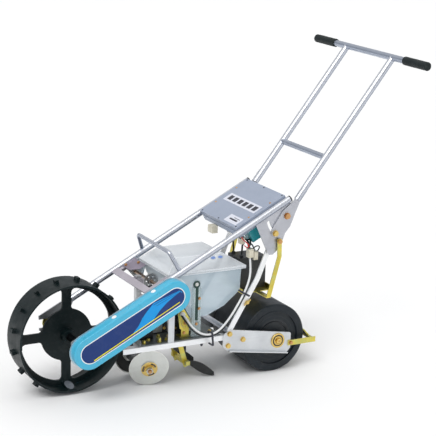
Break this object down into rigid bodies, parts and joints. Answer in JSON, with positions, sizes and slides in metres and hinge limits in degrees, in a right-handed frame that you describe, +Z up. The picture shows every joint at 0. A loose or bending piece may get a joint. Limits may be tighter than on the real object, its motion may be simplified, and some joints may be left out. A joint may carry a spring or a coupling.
{
  "type": "push seeder",
  "caption": "One-row push seeder: lugged front wheel, chain drive case, clear hopper, battery box frame, opener discs, covering blades, press roller and folding T-handle.",
  "frame": {"origin": "on the floor under the centre of the overall bounding box", "axes": "+X from the front wheel to the handle, +Y to the machine's right as it is pushed forward along -X, +Z up"},
  "size_m": [1.1308, 0.582, 0.927],
  "materials": {
    "wheel_moulding": "satin, slate black",
    "zinc_steel": "zinc plated",
    "bright_steel": "ground",
    "zinc_plate": "zinc plated sheet",
    "frame_tube": "bright plated tube",
    "black_cap": "moulded",
    "rail_steel": "bright zinc",
    "blue_cover": "sky blue moulding with a plain decal",
    "sprocket_steel": "machined",
    "chain_steel": "oiled",
    "white_bush": "moulded",
    "black_part": "moulded",
    "grey_tube": "dull grey plated",
    "milky_hopper": "translucent moulding",
    "milky_lid": "translucent moulding",
    "clear_guide": "clear sheet",
    "dark_green_strip": "painted",
    "brass_gear": "machined",
    "gold_zinc": "yellow zinc plated",
    "motor_can": "drawn can",
    "lavender_box": "pale grey lavender enamel",
    "teal_block": "moulded",
    "battery_black": "moulded",
    "cream_connector": "moulded",
    "lead_white": "insulated",
    "gusset_plate": "zinc plated sheet",
    "copper_bolt": "copper toned plating",
    "gold_bolt": "yellow zinc plated",
    "grip_rubber": "matt",
    "roller_rubber": "smooth tread",
    "roller_core": "moulded",
    "disc_steel": "bright, worn",
    "blade_black": "enamelled"
  },
  "bodies": {
    "frame": {"axle_plates": "zinc_plate", "base_plate": "zinc_plate", "battery": "battery_black", "battery_tray": "gold_zinc", "chain_case_back": "zinc_plate", "chain_cover": "blue_cover", "control_box_case": "lavender_box", "control_box_lid": "lavender_box", "drive_chain": "chain_steel", "fork_plates": "zinc_plate", "frame_bolts": "gold_bolt", "frame_gussets": "gusset_plate", "front_bearings": "gold_zinc", "grab_rail": "grey_tube", "hopper_body": "milky_hopper", "lower_rails": "rail_steel", "meter_housing": "black_part", "meter_motor": "motor_can", "motor_bracket": "gold_zinc", "motor_leads": "lead_white", "pivot_bolts": "copper_bolt", "pulse_sensor": "black_part", "rear_cross_tube": "frame_tube", "relay_box": "teal_block", "roller_axle": "gold_bolt", "roller_scraper": "gold_zinc", "seed_tube": "black_part", "seeding_frame": "zinc_plate", "shaft_bushes": "white_bush", "shaft_hangers": "zinc_plate", "shutter_guide": "clear_guide", "struts": "rail_steel", "tube_caps": "black_cap", "upper_tubes": "frame_tube", "wire_connectors": "cream_connector", "yoke_pivot": "zinc_plate"},
    "front_wheel": {"front_wheel_rim": "wheel_moulding", "axle_fittings": "zinc_steel", "front_axle": "bright_steel", "front_sprocket": "sprocket_steel"},
    "meter_shaft": {"meter_shaft": "bright_steel", "shaft_sprocket": "sprocket_steel", "pulse_wheel": "sprocket_steel"},
    "seed_roll": {"seed_roll": "white_bush"},
    "motor_pinion": {"motor_pinion": "brass_gear"},
    "press_roller": {"roller_tyre": "roller_rubber", "roller_core": "roller_core"},
    "opener": {"opener_post": "zinc_steel"},
    "opener_disc_left": {"opener_disc_left": "disc_steel"},
    "opener_disc_right": {"opener_disc_right": "disc_steel"},
    "cover_arm": {"cover_yoke": "gold_zinc", "cover_blades": "blade_black"},
    "handle": {"handle_gussets": "gusset_plate", "clamp_bolts": "gold_bolt", "handle_uprights": "frame_tube", "handle_brace": "grey_tube", "t_bar": "grey_tube", "handle_grips": "grip_rubber"},
    "hopper_lid": {"hopper_lid": "milky_lid"},
    "shutter": {"shutter": "dark_green_strip"}
  },
  "joints": [
    {"name": "front_wheel_spin", "type": "hinge", "parent": "frame", "child": "front_wheel", "pos_m": [-0.4005, 0, 0.16379], "axis": [0, 1, 0], "continuous": true},
    {"name": "meter_shaft_spin", "type": "hinge", "parent": "frame", "child": "meter_shaft", "pos_m": [-0.1475, 0, 0.29179], "axis": [0, 1, 0], "continuous": true},
    {"name": "seed_roll_spin", "type": "hinge", "parent": "frame", "child": "seed_roll", "pos_m": [-0.0485, 0, 0.172], "axis": [0, 1, 0], "continuous": true},
    {"name": "motor_pinion_spin", "type": "hinge", "parent": "frame", "child": "motor_pinion", "pos_m": [-0.0785, 0, 0.18599], "axis": [0, 1, 0], "continuous": true},
    {"name": "press_roller_spin", "type": "hinge", "parent": "frame", "child": "press_roller", "pos_m": [0.2105, 0, 0.102], "axis": [0, 1, 0], "continuous": true},
    {"name": "opener_depth_slide", "type": "slide", "parent": "frame", "child": "opener", "axis": [0, 0, 1], "range_m": [-0.015, 0.015]},
    {"name": "opener_disc_left_spin", "type": "hinge", "parent": "opener", "child": "opener_disc_left", "pos_m": [-0.1785, -0.066, 0.057], "axis": [-0.2713, -0.9344, -0.2311], "continuous": true},
    {"name": "opener_disc_right_spin", "type": "hinge", "parent": "opener", "child": "opener_disc_right", "pos_m": [-0.1785, 0.066, 0.057], "axis": [-0.2713, 0.9344, -0.2311], "continuous": true},
    {"name": "cover_arm_hinge", "type": "hinge", "parent": "frame", "child": "cover_arm", "pos_m": [-0.0665, 0, 0.118], "axis": [0, -1, 0], "range_deg": [0, 25]},
    {"name": "handle_hinge", "type": "hinge", "parent": "frame", "child": "handle", "pos_m": [0.2195, 0, 0.477], "axis": [0, -1, 0], "range_deg": [-36, 2]},
    {"name": "hopper_lid_lift", "type": "slide", "parent": "frame", "child": "hopper_lid", "axis": [0, 0, 1], "range_m": [0, 0.036]},
    {"name": "shutter_slide", "type": "slide", "parent": "frame", "child": "shutter", "axis": [0, 0, 1], "range_m": [0, 0.018]}
  ],
  "couplings": [
    {"joint": "meter_shaft_spin", "follows": "front_wheel_spin", "ratio": 1},
    {"joint": "motor_pinion_spin", "follows": "seed_roll_spin", "ratio": -2}
  ]
}
